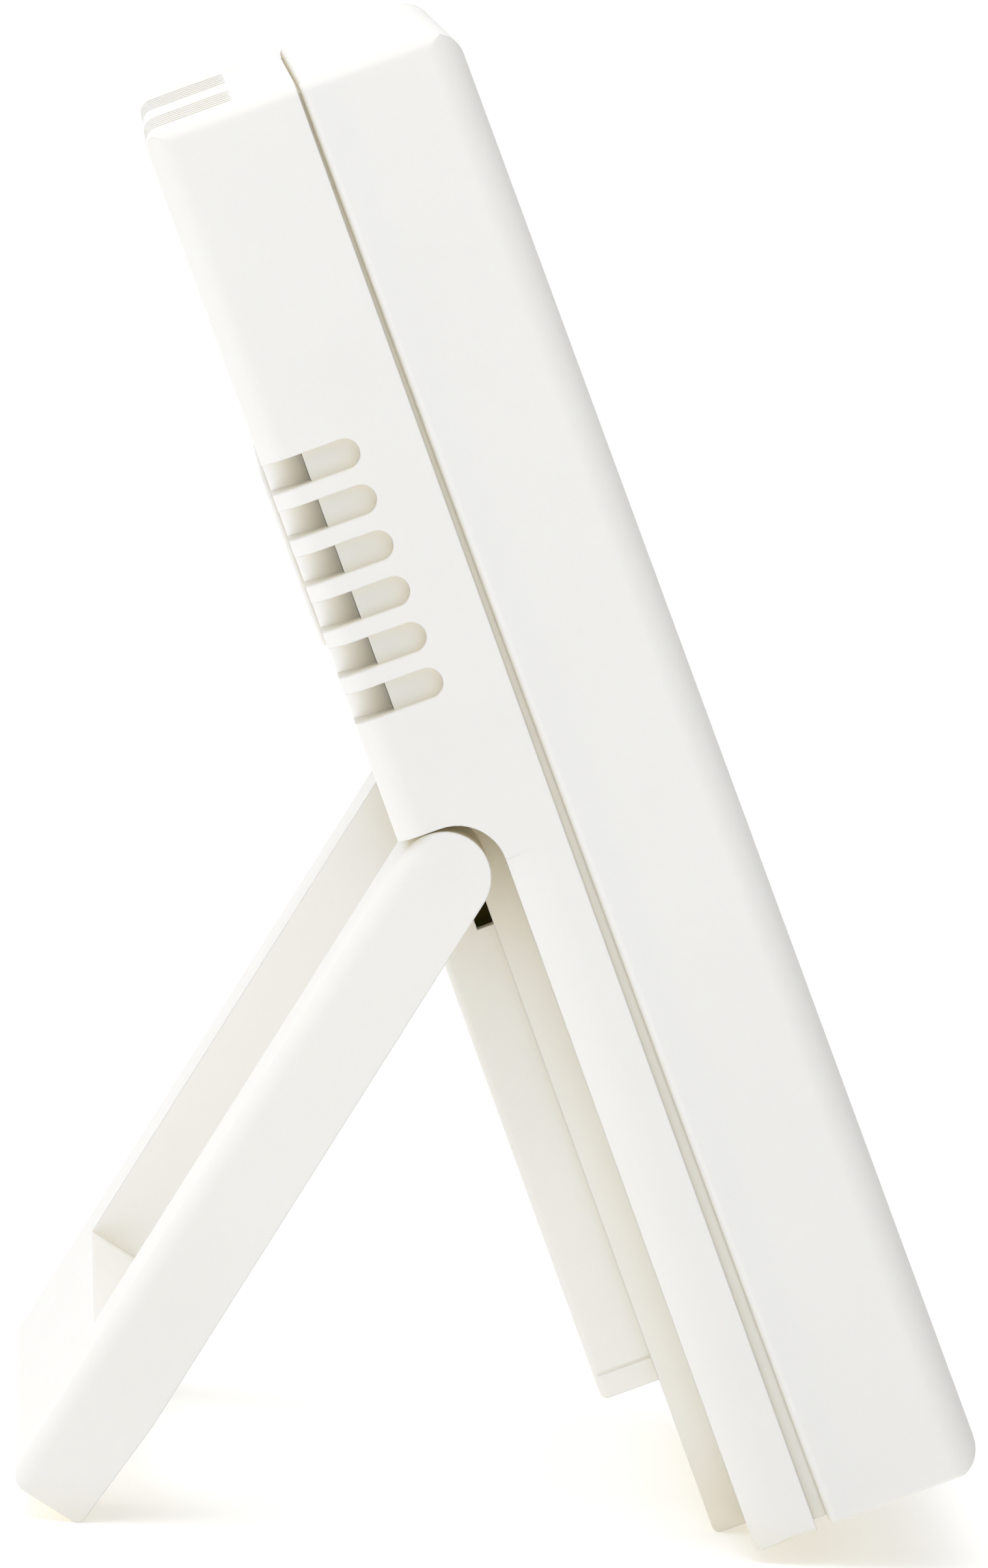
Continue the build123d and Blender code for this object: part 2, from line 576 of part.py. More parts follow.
# ---- front shell -----------------------------------------------------------------------------------
def make_front_shell():
    edge, joint = FRONT_EDGE_RADIUS, JOINT_EDGE_RADIUS
    corner, low_corner = CORNER_RADIUS, LOW_CORNER_RADIUS
    outside = soft_block(
        (-HALF, HALF), (FACE_Y, 0), (0, CASE_HEIGHT),
        xy=(edge, edge, joint, joint),
        yz=(edge, joint, joint, edge),
        xz=(low_corner, low_corner, corner, corner),
    )
    side = HALF - WALL
    hollow = block((-side, side), (INNER_Y, OVERCUT), (WALL, CASE_HEIGHT - WALL))
    rim = HALF - GROOVE_INSET + FIT
    rim_span = (-TONGUE_LENGTH - FIT, OVERCUT)
    rim_low = GROOVE_INSET - FIT
    rebate = block((-rim, rim), rim_span, (rim_low, CASE_HEIGHT - rim_low))
    ledge = WINDOW_LEDGE
    half = WINDOW_WIDTH / 2
    corners = (WINDOW_CORNER,) * 4
    seat = along_y(rectangle((-half, half), (WINDOW_LOW, WINDOW_HIGH), corners), (FACE_Y - OVERCUT, LEDGE_Y))
    sight = block(
        (-half + ledge, half - ledge), (FACE_Y - OVERCUT, 0), (WINDOW_LOW + ledge, WINDOW_HIGH - ledge)
    )
    shell = FRONT_FRAME * (outside - hollow - rebate - seat - sight)
    for x, z in SCREW_PLACES:
        front = BACK_DEPTH + FRONT_DEPTH - FRONT_WALL / 2
        boss = rod((x, -front, z), (0, 1, 0), BOSS_RADIUS, front - BACK_DEPTH - FIT)
        hole = rod((x, SCREW_TIP, z), (0, 1, 0), SCREW_RADIUS, BACK_DEPTH)
        shell = shell + boss - hole
    return shell


# ---- display ---------------------------------------------------------------------------------------
def make_lcd_window():
    half = WINDOW_WIDTH / 2 - FIT
    low, high = WINDOW_LOW + FIT, WINDOW_HIGH - FIT
    corners = (WINDOW_CORNER - FIT,) * 4
    return FRONT_FRAME * along_y(rectangle((-half, half), (low, high), corners), (FACE_Y, LEDGE_Y))


def make_lcd_glass():
    """Two sheets of glass: the front one is longer, and its ends carry the contacts."""
    span = (-LCD_HALF, LCD_HALF)
    front = block(span, (LCD_FRONT + POLARISER_THICKNESS, LCD_MIDDLE), (LCD_LOW, LCD_HIGH))
    short = (LCD_LOW + LCD_LEDGE, LCD_HIGH - LCD_LEDGE)
    back = block(span, (LCD_MIDDLE, LCD_BACK - POLARISER_THICKNESS), short)
    return FRONT_FRAME * (front + back)


def make_lcd_polarisers():
    span, height = (-GUIDE_HALF, GUIDE_HALF), (GUIDE_LOW, GUIDE_HIGH)
    front = block(span, (LCD_FRONT, LCD_FRONT + POLARISER_THICKNESS), height)
    back = block(span, (LCD_BACK - POLARISER_THICKNESS, LCD_BACK), height)
    return group([FRONT_FRAME * front, FRONT_FRAME * back])


def make_light_guide():
    return FRONT_FRAME * block((-GUIDE_HALF, GUIDE_HALF), (GUIDE_FRONT, GUIDE_BACK), (GUIDE_LOW, GUIDE_HIGH))


def led_places():
    middle = (LCD_LOW + LCD_HIGH) / 2
    pitch = WINDOW_HEIGHT / (LED_COUNT + 1)
    return [middle + (n - (LED_COUNT - 1) / 2) * pitch for n in range(LED_COUNT)]


def led_block(z, grow=0):
    """One side-firing lamp beside the light guide, or its pocket when grown."""
    half = LED_LENGTH / 2 + grow
    depth = (GUIDE_FRONT + LED_MARGIN - grow, GUIDE_BACK - LED_MARGIN)
    return block((GUIDE_HALF, GUIDE_HALF + LED_WIDTH + grow), depth, (z - half, z + half))


def make_backlight_leds():
    return group([FRONT_FRAME * led_block(z) for z in led_places()])


def make_lcd_frame():
    """The tray that holds the glass, the light guide and the board against the front shell."""
    low, high = LCD_LOW - FIT - FRAME_WALL, LCD_HIGH + FIT + FRAME_WALL
    back = GUIDE_BACK + FIT
    body = block((-FRAME_HALF, FRAME_HALF), (LCD_FRONT, GUIDE_BACK + FRAME_WALL), (low, high))
    glass = LCD_HALF + FIT
    glass_height = (low + FRAME_WALL, high - FRAME_WALL)
    glass_room = block((-glass, glass), (LCD_FRONT - OVERCUT, GUIDE_FRONT), glass_height)
    guide = GUIDE_HALF + FIT
    guide_room = block((-guide, guide), (LCD_FRONT, back), (GUIDE_LOW - FIT, GUIDE_HIGH + FIT))
    frame = body - glass_room - guide_room
    for z in led_places():
        frame -= led_block(z, FIT)
    half = LCD_HALF - ZEBRA_END_MARGIN + FIT
    for low_z, high_z in zebra_spans():
        frame -= block((-half, half), (LCD_FRONT, BOARD_FRONT), (low_z - FIT, high_z + FIT))
    return FRONT_FRAME * frame


def zebra_spans():
    """The two rubber connector strips, one behind each end of the front glass."""
    low, high = LCD_LOW + ZEBRA_MARGIN, LCD_HIGH - ZEBRA_MARGIN
    thick = LCD_LEDGE - 2 * ZEBRA_MARGIN
    return [(low, low + thick), (high - thick, high)]


def make_zebra_strips():
    half = LCD_HALF - ZEBRA_END_MARGIN
    strips = [block((-half, half), (LCD_MIDDLE, BOARD_FRONT), span) for span in zebra_spans()]
    return group([FRONT_FRAME * strip for strip in strips])


# ---- main board ------------------------------------------------------------------------------------
def make_main_board():
    board = block((-BOARD_HALF, BOARD_HALF), (BOARD_FRONT, BOARD_BACK), (BOARD_LOW, BOARD_HIGH))
    for x, z in BOARD_SCREW_PLACES:
        start = (x, BOARD_FRONT - OVERCUT, z)
        board -= rod(start, (0, 1, 0), BOARD_SCREW_RADIUS, BOARD_THICKNESS + 2 * OVERCUT)
    return FRONT_FRAME * board


def make_board_screws():
    solids = []
    for x, z in BOARD_SCREW_PLACES:
        shank = rod((x, BOARD_FRONT, z), (0, 1, 0), BOARD_SCREW_RADIUS, BOARD_THICKNESS)
        head = rod((x, BOARD_BACK, z), (0, 1, 0), 2 * BOARD_SCREW_RADIUS, BOARD_SCREW_HEAD_HEIGHT)
        solids.append(FRONT_FRAME * (shank + head))
    return group(solids)


def on_board(x, z, width, height, thick):
    """A box-shaped component on the rear of the main board."""
    half_w, half_h = width / 2, height / 2
    return block((x - half_w, x + half_w), (BOARD_BACK, BOARD_BACK + thick), (z - half_h, z + half_h))


def make_driver_chips():
    """Two bare chips under round drops of resin."""
    places = [(x, BOARD_BACK, BOARD_HIGH - CHIP_DROP) for x in (-CHIP_SPREAD, CHIP_SPREAD)]
    return group([FRONT_FRAME * rod(place, (0, 1, 0), CHIP_RADIUS, CHIP_HEIGHT) for place in places])


def make_quartz_crystal():
    start = (CRYSTAL_START, BOARD_BACK + CRYSTAL_RADIUS, BOARD_HIGH - CHIP_DROP)
    return FRONT_FRAME * rod(start, (1, 0, 0), CRYSTAL_RADIUS, CRYSTAL_LENGTH)


def make_board_capacitors():
    z = BOARD_HIGH - CAPACITOR_DROP
    cans = [rod((x, BOARD_BACK, z), (0, 1, 0), CAPACITOR_RADIUS, CAPACITOR_HEIGHT) for x in CAPACITOR_PLACES]
    return group([FRONT_FRAME * can for can in cans])


def make_buzzer():
    z = BOARD_HIGH - BUZZER_DROP
    can = rod((BUZZER_PLACE, BOARD_BACK, z), (0, 1, 0), BUZZER_RADIUS, BUZZER_HEIGHT)
    hole = rod((BUZZER_PLACE, BOARD_BACK + OVERCUT, z), (0, 1, 0), BUZZER_HOLE_RADIUS, BUZZER_HEIGHT)
    return FRONT_FRAME * (can - hole)


def make_receiver_board():
    width, height, thick = RECEIVER_SIZE
    return FRONT_FRAME * on_board(RECEIVER_PLACE, BOARD_HIGH - RECEIVER_DROP, width, height, thick)


def make_aerial_coil():
    """The receiver's short wound aerial, shown as the sleeve that its turns fill."""
    start = (COIL_START, BOARD_BACK + COIL_RADIUS + FIT, BOARD_HIGH - COIL_DROP)
    sleeve = rod(start, (1, 0, 0), COIL_RADIUS, COIL_LENGTH) - rod(start, (1, 0, 0), COIL_BORE, COIL_LENGTH)
    return FRONT_FRAME * sleeve


def front_frame_point(point):
    """A case-frame point seen in the front shell's frame."""
    moved = FRONT_FRAME.inverse() * Pos(*point)
    return moved.position


def switch_top(x):
    """Where the top of a key's switch lies, in the case frame."""
    seat = front_frame_point((x, 0, KEY_HEIGHT))
    return FRONT_FRAME * Pos(x, BOARD_BACK + SWITCH_HEIGHT, seat.Z)


def make_key_switches():
    solids = []
    for x in KEY_PLACES:
        z = front_frame_point((x, 0, KEY_HEIGHT)).Z
        base = on_board(x, z, SWITCH_WIDTH, SWITCH_WIDTH, SWITCH_BODY)
        plunger = rod((x, BOARD_BACK, z), (0, 1, 0), SWITCH_PLUNGER_RADIUS, SWITCH_HEIGHT)
        solids.append(FRONT_FRAME * (base + plunger))
    return group(solids)


def make_key(x):
    """A key cap with a flange behind the rear wall and a stem that reaches its switch."""
    cap = capsule(KEY_LENGTH, KEY_WIDTH, (-WALL - KEY_GAP, KEY_PROUD))
    top = cap.faces().sort_by(Axis.Y)[-1]
    cap = fillet(top.edges(), KEY_EDGE_RADIUS)
    flange_back = -WALL - KEY_GAP
    flange = capsule(
        KEY_LENGTH + 2 * KEY_FLANGE, KEY_WIDTH + 2 * KEY_FLANGE,
        (flange_back - KEY_FLANGE_THICKNESS, flange_back),
    )
    tip = switch_top(x).position.Y + KEY_TRAVEL + 2 * FIT
    stem = rod((0, tip, 0), (0, 1, 0), KEY_STEM_RADIUS, flange_back - tip)
    return Pos(x, 0, KEY_HEIGHT) * (cap + flange + stem)


# ---- sensors -----------------------------------------------------------------------------------------
def make_sensor_board():
    height = (SENSOR_LOW, SENSOR_LOW + SENSOR_BOARD_HEIGHT)
    return block((-SENSOR_FACE, -SENSOR_X), SENSOR_SPAN, height)


def make_humidity_sensor():
    y, half = SENSOR_SPAN[0] + HUMIDITY_SENSOR_PLACE, HUMIDITY_SENSOR_SIZE / 2
    depth = (-SENSOR_FACE - HUMIDITY_SENSOR_DEPTH, -SENSOR_FACE)
    return block(depth, (y - half, y + half), (SENSOR_MIDDLE - half, SENSOR_MIDDLE + half))


def make_temperature_sensor():
    return Pos(-SENSOR_FACE - BEAD_RADIUS, SENSOR_SPAN[1] - BEAD_PLACE, SENSOR_MIDDLE) * Sphere(BEAD_RADIUS)


# ---- battery -----------------------------------------------------------------------------------------
def cell_side(n):
    """The cells lie head to tail: +1 puts the positive end at +X."""
    return 1 if n == 0 else -1


def facing(n):
    return Rot(0, 0, 0) if cell_side(n) > 0 else Rot(0, 180, 0)


def cell_axis(n):
    return Pos(0, -TRAY_BACK - CELL_GAP / 2 - CELL_RADIUS, CELL_HEIGHTS[n]) * facing(n)


def make_battery_cells():
    end = TRAY_HALF_X - CONTACT_THICKNESS
    body_length = CELL_LENGTH - CELL_NUB_LENGTH
    body = rod((end - CELL_LENGTH, 0, 0), (1, 0, 0), CELL_RADIUS, body_length)
    body = fillet(body.edges().filter_by(GeomType.CIRCLE), CELL_EDGE_RADIUS)
    cell = body + rod((end - CELL_NUB_LENGTH, 0, 0), (1, 0, 0), CELL_NUB_RADIUS, CELL_NUB_LENGTH)
    return group([cell_axis(n) * cell for n in range(CELL_COUNT)])


def contact_plate(x):
    half = CELL_RADIUS - CONTACT_MARGIN
    return block((x, x + CONTACT_THICKNESS), (-half, half), (-half, half))


def make_battery_plates():
    plate = contact_plate(TRAY_HALF_X - CONTACT_THICKNESS)
    return group([cell_axis(n) * plate for n in range(CELL_COUNT)])


def make_battery_springs():
    """Each spring is the hollow cone that its turns fill, on its own end plate."""
    start = -TRAY_HALF_X + CONTACT_THICKNESS
    length = TRAY_HALF_X * 2 - CELL_LENGTH - 2 * CONTACT_THICKNESS
    seat = Plane(origin=(start, 0, 0), z_dir=(1, 0, 0))
    low = (Align.CENTER, Align.CENTER, Align.MIN)
    base, tip = SPRING_BASE_RADIUS, SPRING_TIP_RADIUS
    outer = seat * Cone(base, tip, length, align=low)
    inner = seat * Cone(base - SPRING_WIRE, tip - SPRING_WIRE, length, align=low)
    spring = contact_plate(-TRAY_HALF_X) + (outer - inner)
    return group([cell_axis(n) * spring for n in range(CELL_COUNT)])


def make_battery_door():
    """The door: a plate that lies flush in the hub's rear face, with finger ribs near its upper end."""
    half, corner = DOOR_HALF - DOOR_GAP, DOOR_CORNER - DOOR_GAP
    low, high = DOOR_LOW + DOOR_GAP, DOOR_HIGH - DOOR_GAP
    door = along_y(rectangle((-half, half), (low, high), (corner,) * 4), (-DOOR_THICKNESS, 0))
    for n in range(DOOR_GRIP_RIBS):
        start = (-DOOR_GRIP_LENGTH / 2, 0, high - DOOR_GRIP_DROP - n * DOOR_GRIP_PITCH)
        door -= rod(start, (1, 0, 0), DOOR_GRIP_RADIUS, DOOR_GRIP_LENGTH)
    return door


# ---- stand -------------------------------------------------------------------------------------------
def arm_outline():
    """An arm from the side, folded, about the pivot: a straight bar with one round end."""
    rear = PIVOT_DEPTH
    front = -ARM_FRONT
    tip = -ARM_LENGTH
    bar = rounded_face([
        (front, arm_end_centre()[1], 0),
        (front, tip + TIP_TAPER_LENGTH, 0),
        (front + TIP_TAPER, tip, TIP_RADIUS),
        (rear, tip, HEEL_RADIUS),
        (rear, arm_end_centre()[1], 0),
    ])
    return bar + Pos(*arm_end_centre()) * Circle(ARM_END_RADIUS)


def arm_end_centre():
    """The round end fills the recess's corner with an even gap round it."""
    y = -ARM_FRONT + ARM_END_RADIUS
    z = RECESS_HEIGHT - STAND_GAP - ARM_END_RADIUS - PIVOT_HEIGHT
    return (y, z)


def make_stand_frame():
    inner = HALF - ARM_WIDTH
    outer = HALF - ARM_SIDE_GAP
    tip = -ARM_LENGTH
    end = arm_end_centre()[1] + ARM_END_RADIUS
    arm = along_x(arm_outline(), (inner, outer))
    rounded = rectangle((0, outer), (-2 * ARM_FRONT, PIVOT_DEPTH), (0, 0, ARM_EDGE_RADIUS, 0))
    arm &= along_z(rounded, (tip - OVERCUT, end + OVERCUT))
    channel = block(
        (inner + STAND_WALL, outer - STAND_WALL),
        (-2 * ARM_FRONT, PIVOT_DEPTH - STAND_WALL),
        (tip + STAND_WALL, -ARM_END_RADIUS),
    )
    arm -= channel
    pin_end = HUB_HALF - WALL + FIT
    arm += rod((pin_end, 0, 0), (1, 0, 0), PIN_RADIUS, inner - pin_end + OVERCUT)
    bar_top = HUB_BOTTOM - STAND_GAP - PIVOT_HEIGHT
    bar = soft_block(
        (-inner, inner), (PIVOT_DEPTH - BAR_THICKNESS, PIVOT_DEPTH), (tip, bar_top),
        yz=(TIP_RADIUS, HEEL_RADIUS, 0, 0),
    )
    left, right = both_sides(arm)
    return PIVOT * Rot(STAND_OPEN_ANGLE, 0, 0) * (left + right + bar)


# ---- fasteners ---------------------------------------------------------------------------------------
def make_case_screws():
    solids = []
    for x, z in SCREW_PLACES:
        shank = rod((x, SCREW_TIP, z), (0, 1, 0), SCREW_RADIUS, SCREW_LENGTH)
        head = rod((x, -BACK_DEPTH + SCREW_SEAT, z), (0, 1, 0), SCREW_HEAD_RADIUS, SCREW_HEAD_HEIGHT)
        solids.append(shank + head)
    return group(solids)


# ---- standing pose -------------------------------------------------------------------------------------
def lean_angle():
    """The lean at which the shelf's foot edge and the stand's tip both touch the table."""
    case_y = -SHELF_DEPTH - FOOT_RADIUS
    case_z = FOOT_RADIUS
    turn = math.radians(STAND_OPEN_ANGLE)
    arm_y = -ARM_FRONT + TIP_TAPER + TIP_RADIUS
    arm_z = -ARM_LENGTH + TIP_RADIUS
    tip_y = -PIVOT_DEPTH + arm_y * math.cos(turn) - arm_z * math.sin(turn)
    tip_z = PIVOT_HEIGHT + arm_y * math.sin(turn) + arm_z * math.cos(turn)
    rise, run = tip_z - case_z, tip_y - case_y
    slope = math.atan2(rise, run)
    correction = math.asin((FOOT_RADIUS - TIP_RADIUS) / math.hypot(rise, run))
    return math.degrees(slope + correction)


def build():
    nodes = {
        "back_shell": make_back_shell(),
        "front_shell": make_front_shell(),
        "lcd_window": make_lcd_window(),
        "lcd_glass": make_lcd_glass(),
        "lcd_polarisers": make_lcd_polarisers(),
        "light_guide": make_light_guide(),
        "backlight_leds": make_backlight_leds(),
        "lcd_frame": make_lcd_frame(),
        "zebra_strips": make_zebra_strips(),
        "main_board": make_main_board(),
        "board_screws": make_board_screws(),
        "driver_chips": make_driver_chips(),
        "quartz_crystal": make_quartz_crystal(),
        "board_capacitors": make_board_capacitors(),
        "buzzer": make_buzzer(),
        "receiver_board": make_receiver_board(),
        "aerial_coil": make_aerial_coil(),
        "key_switches": make_key_switches(),
        "sensor_board": make_sensor_board(),
        "humidity_sensor": make_humidity_sensor(),
        "temperature_sensor": make_temperature_sensor(),
        "battery_cells": make_battery_cells(),
        "battery_plates": make_battery_plates(),
        "battery_springs": make_battery_springs(),
        "battery_door": make_battery_door(),
        "stand_frame": make_stand_frame(),
        "case_screws": make_case_screws(),
    }
    for name, x in zip(KEY_NAMES, KEY_PLACES):
        nodes[name] = make_key(x)
    return nodes


def standing_frame(nodes, lean):
    """The move that stands the object on z = 0 with the origin at its box's bottom centre."""
    leaning = Rot(-lean, 0, 0)
    boxes = [(leaning * solid).bounding_box() for solid in nodes.values()]
    low_y = min(box.min.Y for box in boxes)
    high_y = max(box.max.Y for box in boxes)
    low_z = min(box.min.Z for box in boxes)
    return Pos(0, -(low_y + high_y) / 2, -low_z) * leaning


os.makedirs("parts", exist_ok=True)
lean = lean_angle()
nodes = build()
standing = standing_frame(nodes, lean)
for name, solid in nodes.items():
    export_step(standing * solid, os.path.join("parts", name + ".step"))
pivot_point = (standing * PIVOT).position
rear_axis = (standing * Pos(0, 1, 0)).position - standing.position
print("lean", round(lean, 3), "degrees; front shell tilt", round(FRONT_TILT, 3))
print("stand pivot", [round(value, 4) for value in pivot_point])
print("rearward axis", [round(value, 6) for value in rear_axis])
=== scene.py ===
import json
import math

import bmesh
import bpy
from mathutils import Matrix, Vector


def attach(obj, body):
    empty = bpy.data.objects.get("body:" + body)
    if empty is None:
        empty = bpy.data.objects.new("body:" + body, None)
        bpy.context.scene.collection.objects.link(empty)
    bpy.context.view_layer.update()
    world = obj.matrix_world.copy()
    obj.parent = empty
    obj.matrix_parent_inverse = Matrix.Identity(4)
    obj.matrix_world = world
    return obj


# Looks for the desk weather station: materials on the CAD nodes, what the display shows, a pale
# studio and the camera. Lengths are in metres unless a name says mm.

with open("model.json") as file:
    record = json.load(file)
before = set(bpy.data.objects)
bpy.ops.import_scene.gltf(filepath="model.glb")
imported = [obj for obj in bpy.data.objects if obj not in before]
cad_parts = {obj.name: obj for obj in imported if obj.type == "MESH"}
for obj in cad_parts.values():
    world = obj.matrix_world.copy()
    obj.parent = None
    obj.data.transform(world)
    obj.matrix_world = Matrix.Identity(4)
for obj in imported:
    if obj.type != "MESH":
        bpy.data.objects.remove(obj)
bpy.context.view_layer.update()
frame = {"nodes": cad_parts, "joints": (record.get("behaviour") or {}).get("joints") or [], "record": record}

MM = 0.001

# ---- the case's own frame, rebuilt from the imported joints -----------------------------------
JOINTS = {joint["name"]: joint for joint in frame["joints"]}
REARWARD = Vector(JOINTS["door_release"]["axis"])
ACROSS = Vector((1, 0, 0))
UPWARD = ACROSS.cross(REARWARD)
PIVOT = Vector(JOINTS["stand_hinge"]["pos_m"])
PIVOT_DEPTH_MM = 3.36
PIVOT_HEIGHT_MM = 64.2

# Case sizes that the display pieces need, as in the CAD.
CASE_HEIGHT_MM = 130.0
BACK_DEPTH_MM = 13.5
FRONT_DEPTH_MM = 14.0
GROOVE_TOP_MM = 0.2
GROOVE_BOTTOM_MM = 1.2
WINDOW_THICKNESS_MM = 1.5
FRONT_WALL_MM = 2.5
SIGHT_HALF_MM = 34.0
SIGHT_LOW_MM = 26.0
SIGHT_HIGH_MM = 122.0
LCD_GAP_MM = 0.1


def case_matrix():
    """From case millimetres (x across, y rearward, z up the case) to scene metres."""
    turn = Matrix((ACROSS, REARWARD, UPWARD)).transposed().to_4x4()
    hinge = Vector((0, -PIVOT_DEPTH_MM, PIVOT_HEIGHT_MM))
    return Matrix.Translation(PIVOT) @ turn @ Matrix.Scale(MM, 4) @ Matrix.Translation(-hinge)


def front_matrix():
    """From the front shell's own frame to scene metres: it tilts forward by the groove's taper."""
    tilt = math.atan((GROOVE_BOTTOM_MM - GROOVE_TOP_MM) / CASE_HEIGHT_MM)
    hinge = Matrix.Translation((0, -BACK_DEPTH_MM - GROOVE_TOP_MM, CASE_HEIGHT_MM))
    turn = Matrix.Rotation(-tilt, 4, "X")
    return case_matrix() @ hinge @ turn @ Matrix.Translation((0, 0, -CASE_HEIGHT_MM))


FRONT = front_matrix()


# ---- node helpers ----------------------------------------------------------------------------
class Shader:
    """A material's node tree, with short calls for the nodes that the materials here use."""

    def __init__(self, name):
        self.material = bpy.data.materials.new(name)
        self.material.use_nodes = True
        self.tree = self.material.node_tree
        self.main = self.tree.nodes["Principled BSDF"]
        coordinates = self.tree.nodes.new("ShaderNodeTexCoord")
        self.place = coordinates.outputs["Object"]

    def node(self, kind, inputs=None, **settings):
        made = self.tree.nodes.new(kind)
        for key, value in settings.items():
            setattr(made, key, value)
        for key, value in (inputs or {}).items():
            if isinstance(value, bpy.types.NodeSocket):
                self.tree.links.new(value, made.inputs[key])
            else:
                made.inputs[key].default_value = value
        return made

    def noise(self, scale, detail=3.0, roughness=0.5):
        made = self.node(
            "ShaderNodeTexNoise",
            {"Vector": self.place, "Scale": scale, "Detail": detail, "Roughness": roughness},
        )
        return made.outputs["Fac"]

    def spread(self, value, low, high, start=0.3, end=0.7):
        """The value's range start to end, stretched to low to high."""
        made = self.node(
            "ShaderNodeMapRange",
            {"Value": value, "From Min": start, "From Max": end, "To Min": low, "To Max": high},
        )
        return made.outputs["Result"]

    def mix(self, fac, first, second):
        made = self.node("ShaderNodeMix", data_type="RGBA")
        for socket, value in ((made.inputs[0], fac), (made.inputs[6], first), (made.inputs[7], second)):
            if isinstance(value, bpy.types.NodeSocket):
                self.tree.links.new(value, socket)
            else:
                socket.default_value = value
        return made.outputs[2]

    def maths(self, operation, first, second):
        made = self.node("ShaderNodeMath", {0: first, 1: second}, operation=operation)
        return made.outputs[0]

    def rounded_normal(self, radius):
        made = self.node("ShaderNodeBevel", {"Radius": radius}, samples=6)
        return made.outputs["Normal"]

    def edge_mask(self, normal):
        """1 on a convex or concave edge, 0 on the flat."""
        flat = self.node("ShaderNodeNewGeometry").outputs["Normal"]
        dot = self.node("ShaderNodeVectorMath", {0: normal, 1: flat}, operation="DOT_PRODUCT")
        return self.spread(dot.outputs["Value"], 1.0, 0.0, start=0.8, end=0.995)

    def open_share(self, reach):
        """1 out in the open, falling towards 0 deep between walls."""
        return self.node("ShaderNodeAmbientOcclusion", {"Distance": reach}, samples=4).outputs["AO"]

    def bump(self, height, strength, distance, normal=None):
        inputs = {"Height": height, "Strength": strength, "Distance": distance}
        if normal is not None:
            inputs["Normal"] = normal
        return self.node("ShaderNodeBump", inputs).outputs["Normal"]

    def plug(self, **links):
        """Links outputs to the main shader's inputs: Base_Color stands for "Base Color"."""
        for key, value in links.items():
            socket = self.main.inputs[key.replace("_", " ")]
            if isinstance(value, bpy.types.NodeSocket):
                self.tree.links.new(value, socket)
            else:
                socket.default_value = value


def rgba(color, shade=1.0):
    return (color[0] * shade, color[1] * shade, color[2] * shade, 1.0)


# ---- materials -------------------------------------------------------------------------------
WHITE = (0.925, 0.915, 0.885)
MOULD_GRAIN = 2600.0        # noise cells to the metre: a fine spark-eroded mould texture
CASE_EDGE = 0.22 * MM        # rounding that the shading adds to the case's sharpest edges
# how far from a wall the painted crevice shade reaches
PAINTED_SHADE_REACH = 9 * MM
PAINTED_CREVICE_SHADE = (0.84, 0.80, 0.69)   # painted shade: the warmer, darker tone painted deep between walls, standing in for light that has bounced between white walls


def moulded_plastic(name, color, grain=MOULD_GRAIN, rough=0.42, glow=0.12, edge=CASE_EDGE, depth=0.02 * MM):
    """Satin injection-moulded plastic: fine grain, faint flow mottle, edges polished by handling, and a
    painted warm shade deep between walls.
    """
    shader = Shader(name)
    rounded = shader.rounded_normal(edge)
    mask = shader.edge_mask(rounded)
    mottle = shader.spread(shader.noise(45.0, detail=4.0), 0.0, 1.0)
    open_tone = shader.mix(mottle, rgba(color, 0.985), rgba(color, 1.01))
    # painted shade: deep between walls the colour turns to the warmer, darker crevice tone
    painted_shade_amount = shader.spread(shader.open_share(PAINTED_SHADE_REACH), 1.0, 0.0, start=0.25, end=0.72)
    body = shader.mix(painted_shade_amount, open_tone, rgba(PAINTED_CREVICE_SHADE))
    # edges, convex and concave, a little lighter in colour
    lighter_edges = shader.mix(shader.maths("MULTIPLY", mask, 0.35), body, rgba(color, 1.05))
    fine = shader.noise(grain, detail=2.0)
    patches = shader.spread(shader.noise(160.0), rough - 0.04, rough + 0.05)
    polished = shader.maths("MULTIPLY", mask, -0.08)
    shader.plug(
        Base_Color=lighter_edges,
        Roughness=shader.maths("ADD", patches, polished),
        Normal=shader.bump(fine, 0.25, depth, rounded),
    )
    shader.plug(Subsurface_Weight=glow, Subsurface_Scale=0.002, IOR=1.5)
    shader.main.inputs["Subsurface Radius"].default_value = (1.0, 0.75, 0.45)
    return shader.material


def clear_plastic(name, color, rough=0.04):
    shader = Shader(name)
    smears = shader.spread(shader.noise(60.0, detail=5.0), rough, rough + 0.06)
    ripple = shader.bump(shader.noise(35.0), 0.04, 0.02 * MM)
    tint = shader.mix(shader.noise(20.0), rgba(color, 0.99), rgba(color))
    shader.plug(Base_Color=tint, Roughness=smears, Normal=ripple)
    shader.plug(Transmission_Weight=1.0, IOR=1.49)
    return shader.material


def lcd_film(name, color):
    """The reflective grey-green ground that the segments stand on."""
    shader = Shader(name)
    cloudy = shader.mix(shader.noise(30.0, detail=4.0), rgba(color, 0.97), rgba(color, 1.03))
    fine = shader.noise(4000.0, detail=1.0)
    shader.plug(
        Base_Color=cloudy,
        Roughness=shader.spread(shader.noise(300.0), 0.32, 0.42),
        Normal=shader.bump(fine, 0.1, 0.005 * MM),
    )
    return shader.material


def ink(name, color, rough=0.5):
    shader = Shader(name)
    shader.plug(
        Base_Color=shader.mix(shader.noise(500.0), rgba(color, 0.9), rgba(color, 1.1)),
        Roughness=shader.spread(shader.noise(900.0), rough - 0.05, rough + 0.05),
        Normal=shader.bump(shader.noise(2500.0), 0.05, 0.005 * MM),
    )
    return shader.material


